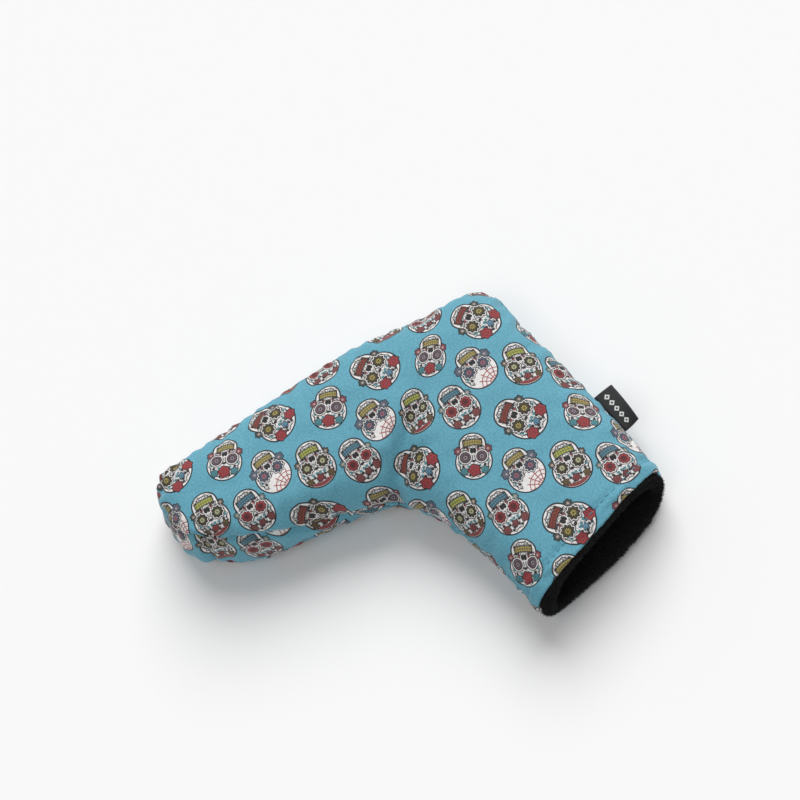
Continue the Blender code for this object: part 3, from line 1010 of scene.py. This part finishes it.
def rose(tree, under, offset, size, ink, count, depth):
    """A flower: an inked outline, coloured petals, and an inked spiral."""
    reach = petals(tree, offset, count, depth)
    over = add(tree, "Math SUBTRACT", reach, size)
    drawn = fill(tree, under, over, 0.14, colour(INK))
    drawn = fill(tree, drawn, over, -0.2, ink)
    x, y, _ = add(tree, "SeparateXYZ", offset).node.outputs
    turn = add(tree, "Math ARCTAN2", y, x)
    spiral = add(tree, "Math MULTIPLY_ADD", turn, 1.1 / (2 * math.pi), reach)
    spiral = add(tree, "Math PINGPONG", spiral, 0.55)
    lines = add(tree, "Math MULTIPLY", within(tree, spiral, 0.17), within(tree, over, -0.2))
    return add(tree, "Mix RGBA", add(tree, "Math MULTIPLY", lines, 0.75), drawn, colour("#2e1b1e"))


def nearest_face(tree, place):
    """The nearest face of the repeat: the place seen from its middle, turned so that its crown is up,
    and its number."""
    cell = add(tree, "VectorMath MULTIPLY", place, (1 / REPEAT, 1 / REPEAT, 0.0))
    best, offset, facts = None, None, None
    for k, motif in enumerate(FACES):
        moved = add(tree, "VectorMath SUBTRACT", cell, (*motif["at"], 0.0))
        away = add(tree, "VectorMath WRAP", moved, (0.5, 0.5, 0.5), (-0.5, -0.5, -0.5))
        length = add(tree, "VectorMath LENGTH", away)
        turn = math.atan2(motif["crown"][0], motif["crown"][1])
        fact = ((k + 0.5) / len(FACES), turn, REPEAT / motif["size"])
        if best is None:
            best, offset, facts = length, away, fact
            continue
        closer = add(tree, "Math LESS_THAN", length, best)
        best = add(tree, "Math MINIMUM", length, best)
        offset = add(tree, "Mix VECTOR", closer, offset, away)
        facts = add(tree, "Mix VECTOR", closer, facts, fact)
    number, turn, size = add(tree, "SeparateXYZ", facts).node.outputs
    scaled = add(tree, "VectorMath SCALE", offset, sockets={"Scale": size})
    upright = add(tree, "VectorRotate", scaled, rotation_type="Z_AXIS", sockets={"Angle": turn})
    return upright, number


def skull_face(tree, ground, place):
    """Draws the repeat's decorated faces over the ground. All sizes are in mm of cloth."""
    spot, number = nearest_face(tree, place)
    x, y, _ = add(tree, "SeparateXYZ", spot).node.outputs
    side = add(tree, "Math ABSOLUTE", x)
    folded = add(tree, "CombineXYZ", side, y)
    pick = {name: by_face(tree, number, [colour(f[name]) for f in FACES])
            for name in ("eye", "pupil", "teeth", "bloom", "side", "cheek")}
    marks = by_face(tree, number, [(*(m / 4 for m in f["marks"]), 1.0) for f in FACES])
    marks = add(tree, "VectorMath MULTIPLY", marks, (4.0, 4.0, 4.0))
    bloom_size, side_size, cheek_size = add(tree, "SeparateXYZ", marks).node.outputs
    depth = by_face(tree, number, [(f["petal"],) * 3 + (1.0,) for f in FACES])

    skull = add(tree, "VectorMath LENGTH", from_centre(tree, spot, (0.0, 2.2), (1 / 8.3, 1 / 8.0)))
    skull = add(tree, "Math MULTIPLY_ADD", skull, 8.1, -8.1)
    jaw = add(tree, "VectorMath LENGTH", from_centre(tree, spot, (0.0, -5.3), (1 / 6.0, 1 / 5.3)))
    jaw = add(tree, "Math MULTIPLY_ADD", jaw, 5.4, -5.4)
    outside = add(tree, "Math SMOOTH_MIN", skull, jaw, 2.4)
    cheek = petals(tree, from_centre(tree, folded, (6.5, -2.9)), 6, 0.2)
    bump = add(tree, "Math SUBTRACT", cheek, cheek_size)
    head = add(tree, "Math MINIMUM", outside, bump)
    drawn = fill(tree, ground, head, 0.0, colour(INK))
    drawn = fill(tree, drawn, outside, -0.58, colour(CLOTH_WHITE))

    # Lace: a scalloped line inside the rim, curling lines that mirror about the nose, and seed dots.
    angle = add(tree, "Math ARCTAN2", y, x)
    scallop = add(tree, "Math SINE", add(tree, "Math MULTIPLY", angle, 9.0))
    scallop = add(tree, "Math MULTIPLY_ADD", add(tree, "Math ABSOLUTE", scallop), 0.8, outside)
    drawn = add(tree, "Mix RGBA", on_line(tree, scallop, -0.98, 0.2), drawn, colour("#38343a"))
    curls = add(tree, "TexNoise", noise_dimensions="2D",
                sockets={"Vector": folded, "Scale": 0.42, "Detail": 0.0, "Distortion": 1.2})
    curl = add(tree, "Math PINGPONG", curls, 0.095)
    curl = add(tree, "Math MULTIPLY", within(tree, curl, 0.024, 0.008), within(tree, outside, -1.2))
    drawn = add(tree, "Mix RGBA", curl, drawn, colour("#2f2b2f"))
    seeds = add(tree, "TexVoronoi", voronoi_dimensions="2D",
                sockets={"Vector": folded, "Scale": 0.58, "Randomness": 0.8})
    chance = add(tree, "SeparateXYZ", seeds.node.outputs["Color"])
    inks = by_face(tree, chance, [colour(code) for code in SEED_INKS])
    dots = add(tree, "Math MULTIPLY", within(tree, seeds, 0.36, 0.06), within(tree, outside, -1.6))
    drawn = add(tree, "Mix RGBA", dots, drawn, inks)

    # A web over the second face's crown, and a painted cap over the third's.
    web = from_centre(tree, spot, (3.4, 10.4))
    wx, wy, _ = add(tree, "SeparateXYZ", web).node.outputs
    spokes = add(tree, "Math PINGPONG", add(tree, "Math ARCTAN2", wy, wx), 0.21)
    far = add(tree, "VectorMath LENGTH", web)
    spokes = within(tree, add(tree, "Math MULTIPLY", spokes, far), 0.2)
    rings = add(tree, "Math PINGPONG", add(tree, "Math ADD", far, 1.0), 0.9)
    lines = add(tree, "Math MAXIMUM", spokes, within(tree, rings, 0.18))
    second, third = (by_face(tree, number, [(float(k == chosen),) * 3 + (1.0,) for k in range(len(FACES))])
                     for chosen in (1, 2))
    second = add(tree, "Math MULTIPLY", second, within(tree, outside, -0.6))
    cleared = add(tree, "Math MULTIPLY", second, within(tree, far, 9.4))
    drawn = add(tree, "Mix RGBA", cleared, drawn, colour(CLOTH_WHITE))
    lines = add(tree, "Math MULTIPLY", add(tree, "Math MULTIPLY", lines, second), within(tree, far, 7.4))
    drawn = add(tree, "Mix RGBA", lines, drawn, colour("#9c3439"))
    cap = add(tree, "Math MULTIPLY_ADD", side, 0.12, y)
    cap = add(tree, "Math MULTIPLY", within(tree, add(tree, "Math MULTIPLY", cap, -1.0), -8.0),
              within(tree, outside, -0.7))
    drawn = add(tree, "Mix RGBA", add(tree, "Math MULTIPLY", cap, third), drawn, colour("#84393b"))

    # Flowers: one in the middle of the forehead, one each side of it, and one on each cheek.
    drawn = rose(tree, drawn, from_centre(tree, spot, (0.0, 6.0)), bloom_size, pick["bloom"], 5, 0.24)
    drawn = rose(tree, drawn, from_centre(tree, folded, (4.7, 6.1)), side_size, pick["side"], 6, 0.24)
    petal = within(tree, bump, -0.35)
    drawn = add(tree, "Mix RGBA", petal, drawn, pick["cheek"])
    drawn = add(tree, "Mix RGBA", add(tree, "Math MULTIPLY", petal, within(tree, cheek, 0.5)), drawn,
                colour("#b9a2a0"))

    # Eyes: a ringed socket with petals round a pale pupil.
    eye_spot = from_centre(tree, folded, (3.6, 0.1))
    eye = petals(tree, eye_spot, 9, depth)
    drawn = fill(tree, drawn, eye, 3.25, colour(INK))
    drawn = fill(tree, drawn, eye, 2.85, colour(CLOTH_WHITE))
    drawn = rose(tree, drawn, eye_spot, 2.35, pick["eye"], 9, depth)
    drawn = fill(tree, drawn, eye, 1.3, colour(INK))
    drawn = fill(tree, drawn, eye, 1.0, pick["pupil"])
    drawn = fill(tree, drawn, eye, 0.4, colour(INK))

    # Nose, and the curved row of teeth with its gums.
    nose = add(tree, "VectorMath LENGTH", from_centre(tree, folded, (0.62, -2.7), (1.0, 0.62)))
    drawn = fill(tree, drawn, nose, 1.1, colour(CLOTH_WHITE))
    drawn = fill(tree, drawn, nose, 0.8, colour("#201d20"))
    mx, my, _ = add(tree, "SeparateXYZ", from_centre(tree, folded, (0.0, -6.3))).node.outputs
    bow = add(tree, "Math MULTIPLY", mx, mx)
    height = add(tree, "Math MULTIPLY_ADD", bow, -0.035, my)
    height = add(tree, "Math ABSOLUTE", height)
    box = add(tree, "Math MAXIMUM", add(tree, "Math SUBTRACT", mx, 3.9),
              add(tree, "Math SUBTRACT", height, 1.1))
    gums = add(tree, "Math SUBTRACT", add(tree, "Math PINGPONG", mx, 1.3), 0.65)
    gum_place = add(tree, "CombineXYZ", gums, add(tree, "Math ADD", height, -2.1))
    gum_curve = add(tree, "VectorMath LENGTH", gum_place)
    gum_line = add(tree, "Math MULTIPLY", on_line(tree, gum_curve, 0.66, 0.1), within(tree, mx, 4.2))
    drawn = add(tree, "Mix RGBA", gum_line, drawn, colour("#2c292c"))
    drawn = fill(tree, drawn, box, 0.28, colour(INK))
    drawn = fill(tree, drawn, box, -0.1, pick["teeth"])
    gaps = within(tree, add(tree, "Math PINGPONG", mx, 0.55), 0.13)
    gaps = add(tree, "Math MAXIMUM", gaps, within(tree, height, 0.15))
    gaps = add(tree, "Math MULTIPLY", gaps, within(tree, box, -0.2))
    return add(tree, "Mix RGBA", add(tree, "Math MULTIPLY", gaps, 0.8), drawn, colour("#332c20"))


def scroll_ground(tree, place):
    """Teal ground with a tone-on-tone scroll: rings round scattered centres, bent by a slow noise."""
    sway = add(tree, "TexNoise", noise_dimensions="2D",
               sockets={"Vector": place, "Scale": 0.16, "Detail": 1.0})
    bent = add(tree, "VectorMath MULTIPLY_ADD", sway.node.outputs["Color"], (5.0, 5.0, 0.0), place)
    curls = add(tree, "TexVoronoi", voronoi_dimensions="2D", sockets={"Vector": bent, "Scale": 0.21})
    rings = add(tree, "Math PINGPONG", curls, 0.17)
    lines = within(tree, rings, 0.045, 0.03)
    return add(tree, "Mix RGBA", lines, colour(TEAL), colour(SCROLL_TEAL))


def finish(tree, shader, tone, height=None, strength=0.0, depth=0.0):
    """Gives a material its colour and, where there is one, a fine relief of a real depth in metres."""
    tree.links.new(tone, shader.inputs["Base Color"])
    if height is not None:
        bump = add(tree, "Bump", sockets={"Strength": strength, "Distance": depth, "Height": height})
        tree.links.new(bump, shader.inputs["Normal"])


def printed_polyester():
    """Sublimation-printed polyester twill: flat ink colours in a matt face, with a thread grain that
    only shows close up, so the cloth looks crisp in print and soft in light. Its threads are about
    0.25 mm apart, and are drawn three times coarser so that they show."""
    material, tree, shader = new_material(
        "printed polyester", 0.72, Sheen_Weight=0.12, Sheen_Roughness=0.5)
    place = add(tree, "Attribute", attribute_name="print", attribute_type="GEOMETRY")
    place = place.node.outputs["Vector"]
    drawn = skull_face(tree, scroll_ground(tree, place), place)
    mottle = add(tree, "TexNoise", noise_dimensions="2D",
                 sockets={"Vector": place, "Scale": 1.4, "Detail": 3.0})
    # the print is scaled from 0.88 to 1.08 by the same mottle that raises the relief, so it is lighter
    # where the relief stands highest
    mottle_brightness = add(tree, "MapRange", mottle, 0.3, 0.7, 0.88, 1.08)
    toned = add(tree, "VectorMath SCALE", drawn, sockets={"Scale": mottle_brightness})
    warp, weft, _ = add(tree, "SeparateXYZ", place).node.outputs
    warp = add(tree, "Math SINE", add(tree, "Math MULTIPLY", warp, 2 * math.pi / 0.75))
    weft = add(tree, "Math SINE", add(tree, "Math MULTIPLY", weft, 2 * math.pi / 0.75))
    grain = add(tree, "Math MULTIPLY", warp, weft)
    height = add(tree, "Math MULTIPLY_ADD", mottle, 0.9, grain)
    finish(tree, shader, toned, height, 0.4, 0.00012)
    return material


def black_plush():
    """Knitted short-pile polyester plush: it swallows light, with a faint grey sheen along the pile's
    tips from the shader and a painted sheen as well: the raised clumps are coloured a lighter black.
    The pile lies in clumps about a millimetre wide."""
    material, tree, shader = new_material("black plush", 0.95, Sheen_Weight=0.35, Sheen_Roughness=0.4)
    shader.inputs["Sheen Tint"].default_value = colour("#5a5a60")
    where = add(tree, "TexCoord").node.outputs["Object"]
    clumps = add(tree, "TexNoise", sockets={"Vector": where, "Scale": 900.0, "Detail": 4.0})
    # painted sheen: the higher a clump stands in the relief, the lighter its colour
    painted_clump_sheen = add(tree, "MapRange", clumps, 0.35, 0.7, 0.0, 1.0)
    tone = add(tree, "Mix RGBA", painted_clump_sheen, colour("#060607"), colour("#19191c"))
    finish(tree, shader, tone, clumps, 0.9, 0.0006)
    return material


def spun_thread():
    """Spun polyester thread dyed to the ground colour: matt, with a fine twist."""
    material, tree, shader = new_material("spun thread", 0.6, Sheen_Weight=0.2)
    where = add(tree, "TexCoord").node.outputs["Object"]
    twist = add(tree, "TexWave", sockets={"Vector": where, "Scale": 900.0, "Distortion": 2.0})
    ply = twist.node.outputs["Fac"]
    finish(tree, shader, add(tree, "Mix RGBA", ply, colour("#3f7d92"), colour("#5b9bb0")))
    return material


def woven_tape():
    """Damask-woven polyester label tape: black satin ribs, drawn 0.4 mm apart where real ones are half
    as far so that they show, with a row of white lozenges woven in. Each rib's crest carries a painted
    highlight: it is coloured a lighter black where the relief stands highest."""
    material, tree, shader = new_material("woven tape", 0.62, Sheen_Weight=0.15)
    place = add(tree, "Attribute", attribute_name="print", attribute_type="GEOMETRY")
    over, length, _ = add(tree, "SeparateXYZ", place.node.outputs["Vector"]).node.outputs
    pitch = add(tree, "Math PINGPONG", length, 1.7)
    centre = add(tree, "Math ABSOLUTE", add(tree, "Math SUBTRACT", over, 4.4))
    lozenge = add(tree, "Math ADD", pitch, centre)
    outline_only = add(tree, "Math SUBTRACT", within(tree, lozenge, 1.45, 0.08),
                       within(tree, lozenge, 0.62, 0.08))
    ends = within(tree, add(tree, "Math ABSOLUTE", length), 8.4, 0.1)
    mark = add(tree, "Math MULTIPLY", outline_only, ends)
    ribs = add(tree, "Math SINE", add(tree, "Math MULTIPLY", length, 2 * math.pi / 0.4))
    # painted highlight: the rib crests, high in the relief, are coloured lighter than the troughs
    rib_crest_painted_highlight = add(tree, "MapRange", ribs, -1.0, 1.0, 0.0, 1.0)
    ground = add(tree, "Mix RGBA", rib_crest_painted_highlight, colour("#08080a"), colour("#131316"))
    tone = add(tree, "Mix RGBA", mark, ground, colour("#d8d8d6"))
    finish(tree, shader, tone, ribs, 0.4, 0.00008)
    return material


def polyester_batting():
    """Needled polyester batting: off-white, very rough, with a loose fibre mottle."""
    material, tree, shader = new_material("polyester batting", 0.95)
    where = add(tree, "TexCoord").node.outputs["Object"]
    fibres = add(tree, "TexNoise", sockets={"Vector": where, "Scale": 400.0, "Detail": 5.0})
    finish(tree, shader, add(tree, "Mix RGBA", fibres, colour("#d9d7d0"), colour("#efeee9")))
    return material


# ---------------------------------------------------------------- assembly
def place_piece(piece, body, slot, *nodes):
    """Puts a visual piece on its body, in place of the nodes it stands for. The slot is not used."""
    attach(piece, body)
    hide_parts(*nodes)
    return piece


print_cloth = printed_polyester()
plush_cloth = black_plush()
thread_finish = spun_thread()
batting_finish = polyester_batting()

hem_rows = []
for side, front in (("front", True), ("back", False)):
    panel, cloth, normal = printed_panel(f"printed_{side}", front, print_cloth)
    place_piece(panel, "cover", "printed_fabric", f"{side}_panel")
    pad = batting(f"{side}_batting", front, batting_finish)
    place_piece(pad, "cover", "foam_padding", f"{side}_padding")
    lining, visible = plush(f"{side}_plush", front, plush_cloth)
    place_piece(lining, "cover", "plush_lining", f"{side}_lining")
    nap = pile(f"{side}_mouth_pile", visible, front, plush_cloth, seed=5 + front)
    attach(nap, "cover")
    hem_rows.append(row_at_hem(cloth, normal))
    for row, inner in (("outer_neck", False), ("inner_neck", True)):
        route, up = row_beside_seam(cloth, normal, inner)
        sewn = stitches(f"{row}_stitches_{side}", route, up, thread_finish)
        place_piece(sewn, "cover", "sewing_thread", f"{row}_stitching_{side}")

strip = boxing("printed_boxing", print_cloth)
place_piece(strip, "cover", "printed_fabric", "boxing_strip")
strip_pad = between("boxing_batting", *map(strip_layer, STRIP_BATTING_DEPTHS), batting_finish)
place_piece(strip_pad, "cover", "foam_padding", "boxing_padding")
strip_lining = between("boxing_plush", *map(strip_layer, PLUSH_DEPTHS), plush_cloth)
place_piece(strip_lining, "cover", "plush_lining", "boxing_lining")

# One row of hem stitches runs round the whole mouth: over the front panel, then back over the other.
hem_route, hem_up = (np.concatenate([ahead, back[::-1]]) for ahead, back in zip(*hem_rows))
hem = stitches("hem_stitches", hem_route, hem_up, thread_finish)
place_piece(hem, "cover", "sewing_thread", "hem_stitching")

tag = side_tag("woven_side_tag", woven_tape())
place_piece(tag, "tag", "woven_tag", "side_tag")

# ---------------------------------------------------------------- studio
AIM = Vector((-0.0177, -0.0433, 0.018))
CAMERA_ELEVATION = math.radians(66)
CAMERA_ROLL = math.radians(-36)
CAMERA_DISTANCE = 0.971
FLOOR = 12.0


def studio():
    """A wide pale floor, a soft key light and a weak fill, an even sky, and the camera."""
    floor_mesh = bpy.data.meshes.new("floor")
    corners = [(x * FLOOR, y * FLOOR, 0.0) for x, y in ((-1, -1), (1, -1), (1, 1), (-1, 1))]
    floor_mesh.from_pydata(corners, [], [(0, 1, 2, 3)])
    material, _, shader = new_material("matt paper", 0.9)
    shader.inputs["Base Color"].default_value = colour("#fbfbfb")
    floor = link("floor", floor_mesh, material)
    world = bpy.data.worlds.new("studio")
    world.use_nodes = True
    sky = world.node_tree.nodes["Background"]
    sky.inputs["Color"].default_value = (1.0, 1.0, 1.0, 1.0)
    sky.inputs["Strength"].default_value = 0.3
    bpy.context.scene.world = world
    for name, place, softness, strength in (
        ("key light", (-0.62, -0.78, 1.05), 46, 2.4),
        ("fill light", (0.45, 0.35, 1.5), 34, 0.42),
    ):
        lamp = bpy.data.lights.new(name, "SUN")
        lamp.angle, lamp.energy = math.radians(softness), strength
        thing = bpy.data.objects.new(name, lamp)
        thing.location = place
        thing.rotation_euler = (AIM - Vector(place)).to_track_quat("-Z", "Y").to_euler()
        bpy.context.scene.collection.objects.link(thing)
    back = Vector((0.0, math.cos(CAMERA_ELEVATION), math.sin(CAMERA_ELEVATION)))
    lens = bpy.data.cameras.new("camera")
    lens.lens = 100.0
    camera = bpy.data.objects.new("camera", lens)
    camera.location = AIM + back * CAMERA_DISTANCE
    camera.rotation_mode = "QUATERNION"
    look = (-back).to_track_quat("-Z", "Y")
    camera.rotation_quaternion = look @ Matrix.Rotation(CAMERA_ROLL, 3, "Z").to_quaternion()
    bpy.context.scene.collection.objects.link(camera)
    bpy.context.scene.camera = camera
    bpy.context.scene.view_settings.view_transform = "Standard"


studio()
